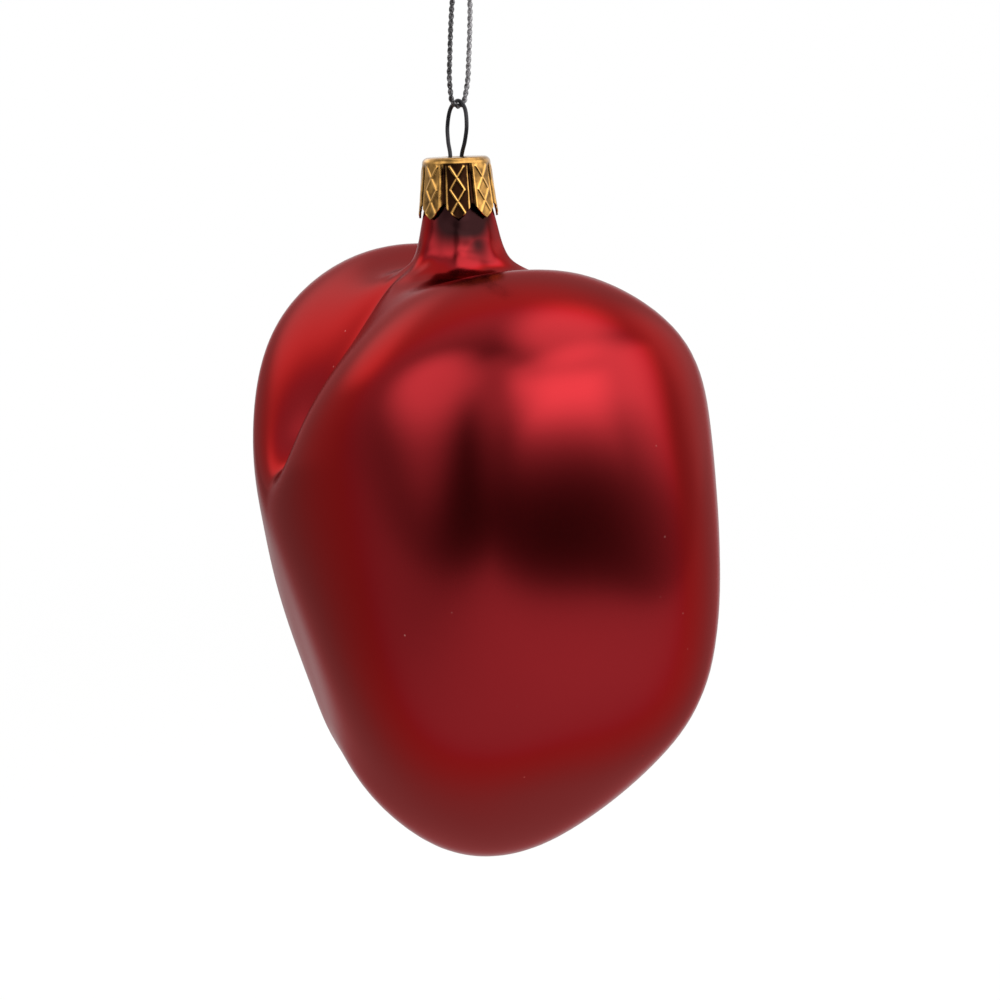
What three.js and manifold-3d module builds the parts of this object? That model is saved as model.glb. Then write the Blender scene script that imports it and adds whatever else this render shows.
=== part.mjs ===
// Blown-glass heart ornament: a lacquered glass shell under a petalled cap, hung by a sprung wire and a thread.
// Millimetres, +Z up. The heart is drawn above its own tip, and the whole ornament is then moved so that the
// origin is the point where the thread loop is hung.

import * as THREE from 'three';
import { NURBSCurve } from 'three/addons/curves/NURBSCurve.js';
import { mergeVertices } from 'three/addons/utils/BufferGeometryUtils.js';
import Module from 'manifold-3d';

const wasm = await Module();
wasm.setup();

// Heart: reaches are measured from the neck's axis, heights from the tip
const HALF_WIDTH = 50.4;
const HALF_THICKNESS = 32.7;
const GIRTH_HEIGHT = 56.8;
const CROWN_HEIGHT = 95.4;
const CROWN_REACH = 29.4;
const LOBE_BROW_REACH = 20.1;
const LOBE_BROW_DEPTH = 2;
const SHOULDER_INSET = 4.8;
const SHOULDER_DROP = 5.1;
const SIDE_TOP_INSET = 1.4;
const SIDE_TOP_RISE = 19.1;
const SIDE_LOW_INSET = 2.6;
const SIDE_LOW_DROP = 21.2;
const HIP_HALF_WIDTH = 36.4;
const HIP_HALF_THICKNESS = 24.8;
const HIP_HEIGHT = 23.7;
const LOBE_FLANK_REACH = 18.3;
const LOBE_FLANK_HEIGHT = 5.9;
const FACE_FLANK_REACH = 22.6;
const FACE_FLANK_HEIGHT = 15.8;
const TIP_ROUNDING = 7.6;
const GLASS_WALL = 0.8;

// Valley between the lobes, down the middle of the front and the back: depths are measured from the crown.
// A share says how far the valley's own shape, and not an oval, leads the blend round the neck at its depth.
const SADDLE_REACH = 12.9;
const SADDLE_DEPTH = 3.9;
const VALLEY_HEAD_REACH = 10.2;
const VALLEY_HEAD_DEPTH = 3.5;
const VALLEY_HEAD_SHARE = 0.79;
const VALLEY_BROW_REACH = 14.6;
const VALLEY_BROW_DEPTH = 9.2;
const VALLEY_BROW_SHARE = 0.69;
const VALLEY_FLOOR_REACH = 20.1;
const VALLEY_FLOOR_DEPTH = 17.8;
const VALLEY_FLOOR_SHARE = 0.42;
const VALLEY_FOOT_REACH = 24.1;
const VALLEY_FOOT_DEPTH = 29;
const VALLEY_FOOT_SHARE = 0.67;
const FACE_TOP_RISE = 7.9;
const FACE_MIDDLE_INSET = 2.1;
const FACE_MIDDLE_DROP = 4.8;
const FACE_LOW_INSET = 4.2;
const FACE_LOW_DROP = 15;
const FACE_HIP_RISE = 1.1;
const VALLEY_SOFTNESS = 0.236;
const VALLEY_POWER = 0.71;
const GIRTH_POWER = 2.05;
const HIP_POWER = 3.06;

// Neck: drops are measured from its rim
const NECK_RISE = 12.7;
const RIM_RADIUS = 4.1;
const NECK_RADIUS = 5.7;
const NECK_DROP = 9.6;
const NECK_TAPER_DROP = 5.8;
const NECK_TAPER_RADIUS = 4.8;
const NECK_FOOT_RADIUS = 6.8;
const NECK_FOOT_DROP = 14.9;

// Cap
const SEAT_CLEARANCE = 0.3;
const CAP_SHEET = 0.3;
const CAP_TOP_RADIUS = 5;
const CAP_SKIRT_RADIUS = 5.8;
const CAP_EDGE = 0.9;
const CAP_HEIGHT = 8.6;
const PETALS = 8;
const PETAL_POINT = 2.2;
const GROOVE_DEPTH = 0.45;
const CAP_TURN = -17;

// Wire hanger
const WIRE_RADIUS = 0.3;
const EYE_HEIGHT = 7.9;
const EYE_HALF_WIDTH = 2.2;
const WAIST_HALF_WIDTH = 1.3;
const LEG_LENGTH = 13.5;
const LEG_HALF_SPLAY = 2.2;
const EYE_TURN = 22;
const EYE_LEAN = 6;
const SLOT_CLEARANCE = 0.3;

// Thread loop
const THREAD_RADIUS = 0.4;
const THREAD_BEND = 1.3;
const LOOP_HEIGHT = 25.5;
const KNOT_RADIUS = 1.3;
const KNOT_HEIGHT = 2.8;
const TAIL_LENGTH = 5;

// Facets
const HEART_SEGMENTS = 72;
const HEART_RINGS = 44;
const BORE_SEGMENTS = 40;
const BORE_RINGS = 28;
const SKIRT_RINGS = 6;
const EDGE_RINGS = 4;
const WIRE_STEPS = 64;
const THREAD_STEPS = 44;
const ROUND_SIDES = 8;

const RIM_HEIGHT = CROWN_HEIGHT + NECK_RISE;
const CAP_TOP = RIM_HEIGHT + SEAT_CLEARANCE + CAP_SHEET;
const degrees = THREE.MathUtils.degToRad;

// A closed solid through rings of points: the first ring closes on one point and the last ring on another.
function loft(rings, start, end) {
  const count = rings[0].length;
  const points = [start, ...rings.flat(), end];
  const positions = points.flatMap((point) => [point.x, point.y, point.z]);
  const faces = [];
  const at = (ring, i) => 1 + ring * count + (i % count);
  for (let i = 0; i < count; i += 1) {
    faces.push(0, at(0, i), at(0, i + 1));
    for (let ring = 0; ring < rings.length - 1; ring += 1) {
      faces.push(at(ring, i), at(ring + 1, i), at(ring + 1, i + 1));
      faces.push(at(ring, i), at(ring + 1, i + 1), at(ring, i + 1));
    }
    faces.push(points.length - 1, at(rings.length - 1, i + 1), at(rings.length - 1, i));
  }
  const geometry = new THREE.BufferGeometry();
  geometry.setAttribute('position', new THREE.Float32BufferAttribute(positions, 3));
  geometry.setIndex(faces);
  return geometry;
}

function solidOf(geometry) {
  const bare = geometry.clone();
  bare.deleteAttribute('normal');
  bare.deleteAttribute('uv');
  const merged = mergeVertices(bare, 1e-4);
  const mesh = new wasm.Mesh({
    numProp: 3,
    vertProperties: new Float32Array(merged.attributes.position.array),
    triVerts: new Uint32Array(merged.index.array),
  });
  return new wasm.Manifold(mesh);
}

function geometryOf(solid) {
  const mesh = solid.getMesh();
  const geometry = new THREE.BufferGeometry();
  geometry.setAttribute('position', new THREE.BufferAttribute(new Float32Array(mesh.vertProperties), 3));
  geometry.setIndex(new THREE.BufferAttribute(new Uint32Array(mesh.triVerts), 1));
  return geometry;
}

// A round bar that follows a curve, closed at both ends.
function roundBar(curve, radius, steps) {
  const section = new THREE.Shape();
  for (let i = 0; i < ROUND_SIDES; i += 1) {
    const angle = (i / ROUND_SIDES) * Math.PI * 2;
    const x = radius * Math.cos(angle);
    const y = radius * Math.sin(angle);
    if (i === 0) section.moveTo(x, y);
    else section.lineTo(x, y);
  }
  const sweep = { steps, bevelEnabled: false, extrudePath: curve, curveSegments: 1 };
  return new THREE.ExtrudeGeometry(section, sweep);
}

function part(name, geometry, color, metalness, roughness) {
  const material = new THREE.MeshStandardMaterial({ color, metalness, roughness });
  const mesh = new THREE.Mesh(geometry, material);
  mesh.name = name;
  return mesh;
}

// Control points of the two profiles that the heart is lofted between, from the neck's rim to the tip:
// over a lobe and out to its end, and down the valley in the middle of the face. The share says how far a
// station follows the valley's own blend round the axis; the rest of it follows an oval of the given power.
function heartStations() {
  const lobe = (reach, height) => ({ reach, height });
  const station = (over, down, share, power) => ({ over, down, share, power });
  const middlePower = (GIRTH_POWER + HIP_POWER) / 2;
  const round = (reach, height) => station(lobe(reach, height), lobe(reach, height), 1, GIRTH_POWER);
  return [
    round(RIM_RADIUS, RIM_HEIGHT),
    round(RIM_RADIUS, RIM_HEIGHT - NECK_TAPER_DROP / 2),
    round(NECK_TAPER_RADIUS, RIM_HEIGHT - NECK_TAPER_DROP),
    round(NECK_RADIUS, RIM_HEIGHT - NECK_DROP),
    round(NECK_FOOT_RADIUS, RIM_HEIGHT - NECK_FOOT_DROP),
    station(
      lobe(SADDLE_REACH, CROWN_HEIGHT - SADDLE_DEPTH),
      lobe(VALLEY_HEAD_REACH, CROWN_HEIGHT - VALLEY_HEAD_DEPTH), VALLEY_HEAD_SHARE, GIRTH_POWER,
    ),
    station(
      lobe(LOBE_BROW_REACH, CROWN_HEIGHT - LOBE_BROW_DEPTH),
      lobe(VALLEY_BROW_REACH, CROWN_HEIGHT - VALLEY_BROW_DEPTH), VALLEY_BROW_SHARE, GIRTH_POWER,
    ),
    station(
      lobe(CROWN_REACH, CROWN_HEIGHT),
      lobe(VALLEY_FLOOR_REACH, CROWN_HEIGHT - VALLEY_FLOOR_DEPTH), VALLEY_FLOOR_SHARE, GIRTH_POWER,
    ),
    station(
      lobe(HALF_WIDTH - SHOULDER_INSET, CROWN_HEIGHT - SHOULDER_DROP),
      lobe(VALLEY_FOOT_REACH, CROWN_HEIGHT - VALLEY_FOOT_DEPTH), VALLEY_FOOT_SHARE, GIRTH_POWER,
    ),
    station(
      lobe(HALF_WIDTH - SIDE_TOP_INSET, GIRTH_HEIGHT + SIDE_TOP_RISE),
      lobe(HALF_THICKNESS, GIRTH_HEIGHT + FACE_TOP_RISE), 0, GIRTH_POWER,
    ),
    station(
      lobe(HALF_WIDTH, GIRTH_HEIGHT),
      lobe(HALF_THICKNESS - FACE_MIDDLE_INSET, GIRTH_HEIGHT - FACE_MIDDLE_DROP), 0, middlePower,
    ),
    station(
      lobe(HALF_WIDTH - SIDE_LOW_INSET, GIRTH_HEIGHT - SIDE_LOW_DROP),
      lobe(HALF_THICKNESS - FACE_LOW_INSET, GIRTH_HEIGHT - FACE_LOW_DROP), 0, HIP_POWER,
    ),
    station(
      lobe(HIP_HALF_WIDTH, HIP_HEIGHT),
      lobe(HIP_HALF_THICKNESS, HIP_HEIGHT + FACE_HIP_RISE), 0, HIP_POWER,
    ),
    station(lobe(LOBE_FLANK_REACH, LOBE_FLANK_HEIGHT), lobe(FACE_FLANK_REACH, FACE_FLANK_HEIGHT), 0, HIP_POWER),
    station(lobe(TIP_ROUNDING, 0), lobe(TIP_ROUNDING, 0), 0, HIP_POWER),
  ];
}

// The profile at one angle round the neck's axis, where 0 points along a lobe and a quarter turn points
// along the valley.
function heartProfile(stations, angle) {
  const along = Math.abs(Math.cos(angle));
  const across = Math.abs(Math.sin(angle));
  const lift = Math.hypot(along, VALLEY_SOFTNESS) - VALLEY_SOFTNESS;
  const rise = (lift / (Math.hypot(1, VALLEY_SOFTNESS) - VALLEY_SOFTNESS)) ** VALLEY_POWER;
  const controls = stations.map(({ over, down, share, power }) => {
    const oval = ((along / over.reach) ** power + (across / down.reach) ** power) ** (-1 / power);
    const cut = THREE.MathUtils.lerp(down.reach, over.reach, rise);
    const reach = THREE.MathUtils.lerp(oval, cut, share);
    const climb = THREE.MathUtils.lerp(along ** 2, rise, share);
    const height = THREE.MathUtils.lerp(down.height, over.height, climb);
    return new THREE.Vector4(reach, 0, height, 1);
  });
  controls.push(new THREE.Vector4(0, 0, 0, 1));
  const degree = 3;
  const spans = controls.length - degree;
  const knots = [];
  for (let i = 0; i < controls.length + degree + 1; i += 1) {
    knots.push(THREE.MathUtils.clamp(i - degree, 0, spans) / spans);
  }
  return new NURBSCurve(degree, knots, controls);
}

// Angles round the axis, closer together in the valleys than at the ends of the lobes.
function heartAngle(step, segments) {
  const even = (step / segments) * Math.PI * 2;
  const gather = 0.2;
  return even + gather * Math.sin(2 * even);
}

// Rings of the heart's surface, drawn in from the outside by the inset along each profile's normal.
function heartRings(segments, count, inset) {
  const stations = heartStations();
  const rings = Array.from({ length: count }, () => []);
  for (let i = 0; i < segments; i += 1) {
    const angle = heartAngle(i, segments);
    const profile = heartProfile(stations, angle);
    for (let ring = 0; ring < count; ring += 1) {
      const t = ring / count;
      const at = profile.getPoint(t);
      const along = profile.getTangent(t);
      const reach = at.x + along.z * inset;
      const height = at.z - along.x * inset;
      rings[ring].push(new THREE.Vector3(reach * Math.cos(angle), reach * Math.sin(angle), height));
    }
  }
  return rings;
}

function glassHeart() {
  const outside = heartRings(HEART_SEGMENTS, HEART_RINGS, 0);
  const inside = heartRings(BORE_SEGMENTS, BORE_RINGS, GLASS_WALL);
  const mouth = inside[0].map((point) => point.clone().setZ(RIM_HEIGHT + GLASS_WALL));
  const skin = loft(outside, new THREE.Vector3(0, 0, RIM_HEIGHT), new THREE.Vector3());
  const hollow = loft(
    [mouth, ...inside],
    new THREE.Vector3(0, 0, RIM_HEIGHT + GLASS_WALL),
    new THREE.Vector3(0, 0, GLASS_WALL),
  );
  return geometryOf(solidOf(skin).subtract(solidOf(hollow)));
}

// One pass over the cap's sheet, from the middle of the top to the petals' lower edge. The inset gives the
// sheet's inside.
function capRings(inset) {
  const across = [-0.5, -0.42, -0.35, -0.2, 0, 0.2, 0.35, 0.42];
  const rings = [];
  const ring = (shape) => {
    const points = [];
    for (let petal = 0; petal < PETALS; petal += 1) {
      for (const offset of across) {
        const angle = ((petal + offset) / PETALS) * Math.PI * 2;
        const { reach, height } = shape(Math.abs(offset) * 2);
        points.push(new THREE.Vector3(reach * Math.cos(angle), reach * Math.sin(angle), height));
      }
    }
    rings.push(points);
  };
  const flat = CAP_TOP_RADIUS - CAP_EDGE;
  for (let step = 0; step < EDGE_RINGS; step += 1) {
    const turn = (step / EDGE_RINGS) * (Math.PI / 2);
    ring(() => ({
      reach: flat + (CAP_EDGE - inset) * Math.sin(turn),
      height: CAP_TOP - CAP_EDGE + (CAP_EDGE - inset) * Math.cos(turn),
    }));
  }
  for (let step = 0; step <= SKIRT_RINGS; step += 1) {
    const down = step / SKIRT_RINGS;
    ring((side) => {
      const groove = GROOVE_DEPTH * THREE.MathUtils.smoothstep(side, 0.6, 1) * Math.min(1, down * 4);
      const edge = CAP_TOP - CAP_HEIGHT + PETAL_POINT * side ** 1.3;
      const flare = THREE.MathUtils.smoothstep(down, 0.2, 0.8);
      return {
        reach: THREE.MathUtils.lerp(CAP_TOP_RADIUS, CAP_SKIRT_RADIUS, flare) - groove - inset,
        height: THREE.MathUtils.lerp(CAP_TOP - CAP_EDGE, edge, down),
      };
    });
  }
  return rings;
}

function cap() {
  const sheet = loft(
    [...capRings(0), ...capRings(CAP_SHEET).reverse()],
    new THREE.Vector3(0, 0, CAP_TOP),
    new THREE.Vector3(0, 0, CAP_TOP - CAP_SHEET),
  );
  const halfWidth = WIRE_RADIUS + SLOT_CLEARANCE;
  const halfLength = EYE_HALF_WIDTH + WIRE_RADIUS + SLOT_CLEARANCE;
  const outline = new THREE.Shape();
  outline.absarc(halfLength - halfWidth, 0, halfWidth, -Math.PI / 2, Math.PI / 2);
  outline.absarc(halfWidth - halfLength, 0, halfWidth, Math.PI / 2, Math.PI * 1.5);
  const cut = { depth: CAP_EDGE * 2, bevelEnabled: false, curveSegments: 5 };
  const slot = new THREE.ExtrudeGeometry(outline, cut);
  slot.translate(0, 0, CAP_TOP - CAP_EDGE);
  slot.rotateZ(degrees(EYE_TURN - CAP_TURN));
  return geometryOf(solidOf(sheet).subtract(solidOf(slot)));
}

// The wire lies in the hanger's XZ plane, with its waist in the cap's slot at height 0.
function wireHanger() {
  const half = [
    [LEG_HALF_SPLAY, -LEG_LENGTH],
    [(LEG_HALF_SPLAY + WAIST_HALF_WIDTH) / 2, -LEG_LENGTH / 2],
    [WAIST_HALF_WIDTH, 0],
    [EYE_HALF_WIDTH * 0.88, EYE_HEIGHT * 0.28],
    [EYE_HALF_WIDTH, EYE_HEIGHT * 0.56],
    [EYE_HALF_WIDTH * 0.72, EYE_HEIGHT * 0.87],
  ];
  const left = half.map(([x, z]) => new THREE.Vector3(-x, 0, z));
  const right = half.map(([x, z]) => new THREE.Vector3(x, 0, z)).reverse();
  const route = [...left, new THREE.Vector3(0, 0, EYE_HEIGHT), ...right];
  return roundBar(new THREE.CatmullRomCurve3(route), WIRE_RADIUS, WIRE_STEPS);
}

// The thread lies in the hanger's YZ plane, under the crown of the eye and up to the knot.
function threadRoute() {
  const bottom = EYE_HEIGHT - WIRE_RADIUS - SEAT_CLEARANCE - THREAD_RADIUS;
  const bend = bottom + THREAD_BEND;
  const rising = [
    [0.8, LOOP_HEIGHT],
    [1.2, LOOP_HEIGHT - 1.6],
    [1.6, LOOP_HEIGHT - 3.8],
    [1.75, LOOP_HEIGHT - 7],
    [1.75, bend + 5],
    [1.7, bend + 2.5],
    [THREAD_BEND, bend],
  ];
  const turn = [];
  for (const angle of [30, 60, 90, 120, 150]) {
    const around = degrees(angle);
    turn.push([THREAD_BEND * Math.cos(around), bend - THREAD_BEND * Math.sin(around)]);
  }
  const falling = rising.map(([y, z]) => [-y, z]).reverse();
  return [...rising, ...turn, ...falling].map(([y, z]) => new THREE.Vector3(0, y, z));
}

// An overhand knot drawn tight, with the two cut ends of the thread above it.
function threadKnot() {
  const middle = LOOP_HEIGHT + SEAT_CLEARANCE + KNOT_HEIGHT / 2;
  const barrel = [];
  const steps = 12;
  for (let step = 0; step <= steps; step += 1) {
    const rise = step / steps;
    const turns = 0.88 + 0.12 * Math.cos(rise * Math.PI * 4);
    const swell = Math.sqrt(Math.max(0, Math.sin(rise * Math.PI))) * turns;
    barrel.push(new THREE.Vector2(step % steps === 0 ? 0 : KNOT_RADIUS * swell, KNOT_HEIGHT * (rise - 0.5)));
  }
  const lump = new THREE.LatheGeometry(barrel, ROUND_SIDES * 2).rotateX(Math.PI / 2);
  let knot = solidOf(lump.translate(0, 0, middle));
  const top = middle + KNOT_HEIGHT / 2;
  for (const side of [-1, 1]) {
    const tail = new THREE.CatmullRomCurve3([
      new THREE.Vector3(0, side * THREAD_RADIUS * 0.75, middle),
      new THREE.Vector3(0, side * THREAD_RADIUS * 2, top),
      new THREE.Vector3(0, side * THREAD_RADIUS * 4.5, top + TAIL_LENGTH * 0.6),
      new THREE.Vector3(0, side * THREAD_RADIUS * 6.5, top + TAIL_LENGTH),
    ]);
    knot = knot.add(solidOf(roundBar(tail, THREAD_RADIUS, ROUND_SIDES)));
  }
  return geometryOf(knot);
}

const heart = part('glass_heart', glassHeart(), 0x9c1620, 0.9, 0.42);

const crownCap = part('cap', cap(), 0xb98a3c, 1, 0.25);
crownCap.rotation.z = degrees(CAP_TURN);

const hanger = new THREE.Group();
hanger.position.z = CAP_TOP;
hanger.rotation.set(degrees(-EYE_LEAN), 0, degrees(EYE_TURN), 'ZXY');
hanger.add(part('wire_hanger', wireHanger(), 0x4a4a4c, 1, 0.35));
const threadCurve = new THREE.CatmullRomCurve3(threadRoute());
const strands = roundBar(threadCurve, THREAD_RADIUS, THREAD_STEPS);
hanger.add(part('hanging_thread', strands, 0x8f8f93, 0.6, 0.5));
hanger.add(part('thread_knot', threadKnot(), 0x8f8f93, 0.6, 0.5));
hanger.updateMatrix();

const ornament = new THREE.Group();
ornament.add(heart, crownCap, hanger);
ornament.position.copy(new THREE.Vector3(0, 0, LOOP_HEIGHT).applyMatrix4(hanger.matrix)).negate();

export default ornament;
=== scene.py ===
"""Dresses a glass heart ornament: lacquered shell, stamped cap, wire hanger and twisted metallic thread."""

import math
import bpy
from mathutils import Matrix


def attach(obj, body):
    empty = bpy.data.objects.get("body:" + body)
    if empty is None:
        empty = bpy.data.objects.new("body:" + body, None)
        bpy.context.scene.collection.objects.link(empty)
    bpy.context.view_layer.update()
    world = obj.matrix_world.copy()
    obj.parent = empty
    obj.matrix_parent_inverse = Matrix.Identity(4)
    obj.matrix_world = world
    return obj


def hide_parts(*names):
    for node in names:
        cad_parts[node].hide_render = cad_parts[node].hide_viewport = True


bl_info = {
    "name": "Glass Heart Ornament",
    "version": (1, 0, 0),
    "blender": (4, 5, 0),
    "location": "3D View > Sidebar > Ornament",
    "description": "Models a lacquered glass heart with its stamped cap, wire hanger and hanging thread",
    "category": "Object",
}

import bmesh
import bpy
from mathutils import Matrix, Vector

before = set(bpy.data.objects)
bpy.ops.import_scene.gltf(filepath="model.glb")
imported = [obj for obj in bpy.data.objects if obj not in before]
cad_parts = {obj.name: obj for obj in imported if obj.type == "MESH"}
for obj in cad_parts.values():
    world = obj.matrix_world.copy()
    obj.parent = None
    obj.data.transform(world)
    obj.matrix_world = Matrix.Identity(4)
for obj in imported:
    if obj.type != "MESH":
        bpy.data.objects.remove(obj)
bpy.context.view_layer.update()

MM = 0.001
FULL_TURN = 2 * math.pi

# Sizes of the part, in millimetres. Heights are above the heart's tip, reaches are from its neck's axis.
CROWN_HEIGHT = 95.4
GIRTH_HEIGHT = 56.8
RIM_HEIGHT = CROWN_HEIGHT + 12.7
SHEET = 0.3
CAP_TOP = RIM_HEIGHT + 0.3 + SHEET
CAP_TOP_RADIUS = 5.0
CAP_SKIRT_RADIUS = 5.8
CAP_EDGE = 0.9
CAP_HEIGHT = 8.6
CAP_TURN = math.radians(-17)
PETALS = 8
PETAL_POINT = 2.2
GROOVE_DEPTH = 0.45
DIAMOND_LENGTH = 6.6
DIAMOND_HALF_WIDTH = 1.02
RIDGE_HALF_WIDTH = 0.18
BORDER_REACH = 1.6
BORDER_HALF_WIDTH = 0.14
WIRE_RADIUS = 0.3
EYE_HEIGHT = 7.9
EYE_HALF_WIDTH = 2.2
WAIST_HALF_WIDTH = 1.3
LEG_LENGTH = 13.5
LEG_HALF_SPLAY = 2.2
EYE_TURN = math.radians(22)
EYE_LEAN = math.radians(6)
SLOT_HALF_WIDTH = 0.6
SLOT_HALF_LENGTH = 2.8
THREAD_RADIUS = 0.4
THREAD_BEND = 1.3
THREAD_GAP = 0.06
PLY_RADIUS = 0.26
PLY_OFFSET = 0.14
PLY_SIDES = 12
LOOP_HEIGHT = 25.5
KNOT_HEIGHT = 2.8
KNOT_WRAP_REACH = 0.3
KNOT_WRAP_RISE = 0.75
KNOT_WRAP_POINTS = 28
TAIL_LENGTH = 5

# The cap's petals: where in a diamond the chain starts, how much lower the borders are than the diamonds,
# the shares of a petal's half width between which ridges end and grooves begin, and the bends of its foot
# and its flare
DIAMOND_START = 0.311
BORDER_SHARE = 0.7
RIDGE_END = (0.74, 0.84)
GROOVE_BEGIN = (0.76, 0.96)
FOOT_BEND = 1.3
FLARE_BEND = 1.15

# How bright handling has worn the cap's gold, from 0 to 1. The petal nearest to +X gets none of this shine,
# as painted shade, so its gold stays dark.
PLATE_SHINE = 0.48
PETAL_SHINE = 0.4
RIDGE_SHINE = 0.95
GROOVE_DULLING = 0.4

# Points of the wire's eye, as shares of its half width and its height
EYE_SHAPE = ((0.88, 0.28), (1, 0.56), (0.72, 0.87))

# Control points of the heart's two profiles: reach and height over a lobe, reach and height down the valley,
# the share that the valley's blend has in the station, and the power of the oval that makes up the rest.
HEART_STATIONS = (
    (4.1, RIM_HEIGHT, 4.1, RIM_HEIGHT, 1, 2.05),
    (4.1, RIM_HEIGHT - 2.9, 4.1, RIM_HEIGHT - 2.9, 1, 2.05),
    (4.8, RIM_HEIGHT - 5.8, 4.8, RIM_HEIGHT - 5.8, 1, 2.05),
    (5.7, RIM_HEIGHT - 9.6, 5.7, RIM_HEIGHT - 9.6, 1, 2.05),
    (6.8, RIM_HEIGHT - 14.9, 6.8, RIM_HEIGHT - 14.9, 1, 2.05),
    (12.9, CROWN_HEIGHT - 3.9, 10.2, CROWN_HEIGHT - 3.5, 0.79, 2.05),
    (20.1, CROWN_HEIGHT - 2, 14.6, CROWN_HEIGHT - 9.2, 0.69, 2.05),
    (29.4, CROWN_HEIGHT, 20.1, CROWN_HEIGHT - 17.8, 0.42, 2.05),
    (45.6, CROWN_HEIGHT - 5.1, 24.1, CROWN_HEIGHT - 29, 0.67, 2.05),
    (49, GIRTH_HEIGHT + 19.1, 32.7, GIRTH_HEIGHT + 7.9, 0, 2.05),
    (50.4, GIRTH_HEIGHT, 30.6, GIRTH_HEIGHT - 4.8, 0, 2.555),
    (47.8, GIRTH_HEIGHT - 21.2, 28.5, GIRTH_HEIGHT - 15, 0, 3.06),
    (36.4, 23.7, 24.8, 24.8, 0, 3.06),
    (18.3, 5.9, 22.6, 15.8, 0, 3.06),
    (7.6, 0, 7.6, 0, 0, 3.06),
    (0, 0, 0, 0, 0, 3.06),
)
VALLEY_SOFTNESS = 0.236
VALLEY_POWER = 0.71
VALLEY_CROWDING = 0.2
HEART_ROWS = 121
HEART_STEPS = 160

# Points of the heart: the middles of a patch and a spot of painted shade on the neck under the cap, where
# the neck is most wavy, and the middle that the camera and the lamps are set by
PAINTED_NECK_SHADE_PATCH = (5, -0.9, 100.5)
PAINTED_NECK_SHADE_SPOT = (6.7, 0.8, 96.6)
NECK_MIDDLE = (0, 0, CROWN_HEIGHT + 4)
HEART_MIDDLE = (0, 0, 50)

# Softboxes: shape, direction round from +X, height above the horizon and roll in degrees, width and height
# in metres, and brightness against white paper
LAMPS = (
    ("key_softbox", "RECTANGLE", 36, 28.5, -9.5, 4.7, 1.62, 2.45),
    ("key_core", "RECTANGLE", 9.5, 20, -4.3, 2.3, 0.95, 1.6),
    ("ceiling_softbox", "ELLIPSE", 52, 68, 8.8, 2.90, 1.90, 2.0),
    ("side_softbox", "ELLIPSE", -77, 29, 0, 1.65, 1.75, 2.1),
    ("front_softbox", "ELLIPSE", -34, 31, 0, 1.25, 1.70, 1.05),
    ("rear_softbox", "ELLIPSE", -155, 27, 0, 1.80, 0.75, 1.4),
    ("right_softbox", "ELLIPSE", 116, 12, 0, 1.30, 1.55, 0.7),
)

# The paper sheet under the heart: its sides and how far it lies off the heart in metres, its turn, and the
# direction round from +X in which it gets brighter
PAPER_SIDES = (2.60, 3.45, 1)
PAPER_SHIFT = (-0.7, 0.275, 0)
PAPER_TURN = math.radians(35)
PAPER_BRIGHT_WAY = math.radians(55)

# The wire and the thread share one leaning frame, with the wire's waist in the cap's slot at its origin.
HANGER = (
    Matrix.Translation((0, 0, CAP_TOP))
    @ Matrix.Rotation(EYE_TURN, 4, "Z")
    @ Matrix.Rotation(-EYE_LEAN, 4, "X")
)
HANGING_POINT = HANGER @ Vector((0, 0, LOOP_HEIGHT))


def placed(point):
    """Moves a point from millimetres above the heart's tip into the frame, in metres."""
    return (Vector(point) - HANGING_POINT) * MM


def hung(point):
    """Moves a point of the leaning hanger into the frame, in metres."""
    return placed(HANGER @ Vector(point))


def linear(text):
    """Turns an sRGB hex colour into linear red, green, blue and alpha."""
    channels = [int(text[i:i + 2], 16) / 255 for i in (1, 3, 5)]
    return tuple(c / 12.92 if c <= 0.04045 else ((c + 0.055) / 1.055) ** 2.4 for c in channels) + (1.0,)


def smooth_step(low, high, value):
    """Rises from 0 at low to 1 at high with level ends."""
    share = min(max((value - low) / (high - low), 0), 1)
    return share * share * (3 - 2 * share)


class HeartSettings(bpy.types.PropertyGroup):
    """Glass shell and its lacquer."""

    wall: bpy.props.FloatProperty(
        name="Wall", description="Thickness of the blown glass", default=0.8 * MM, unit="LENGTH")
    lacquer: bpy.props.FloatVectorProperty(
        name="Lacquer", description="Colour of the satin lacquer over the silvered glass",
        subtype="COLOR", size=4, min=0, max=1, default=linear("#84181D"))
    lacquer_shade: bpy.props.FloatVectorProperty(
        name="Lacquer shade", description="Colour where the lacquer lies a little thicker",
        subtype="COLOR", size=4, min=0, max=1, default=linear("#7D161B"))
    # Painted shade: the dark colour painted in a patch and a spot on the neck under the cap.
    painted_neck_shade: bpy.props.FloatVectorProperty(
        name="Bare glass", description="Colour where the silver behind the lacquer is missing",
        subtype="COLOR", size=4, min=0, max=1, default=linear("#1C0405"))


class CapSettings(bpy.types.PropertyGroup):
    """Stamped cap."""

    relief: bpy.props.FloatProperty(
        name="Relief", description="Height of the stamped diamonds", default=0.1 * MM, unit="LENGTH")
    gold: bpy.props.FloatVectorProperty(
        name="Gold", description="Colour of the worn, raised gold",
        subtype="COLOR", size=4, min=0, max=1, default=linear("#B98B4A"))
    patina: bpy.props.FloatVectorProperty(
        name="Patina", description="Colour left in the grooves",
        subtype="COLOR", size=4, min=0, max=1, default=linear("#24130A"))


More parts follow.
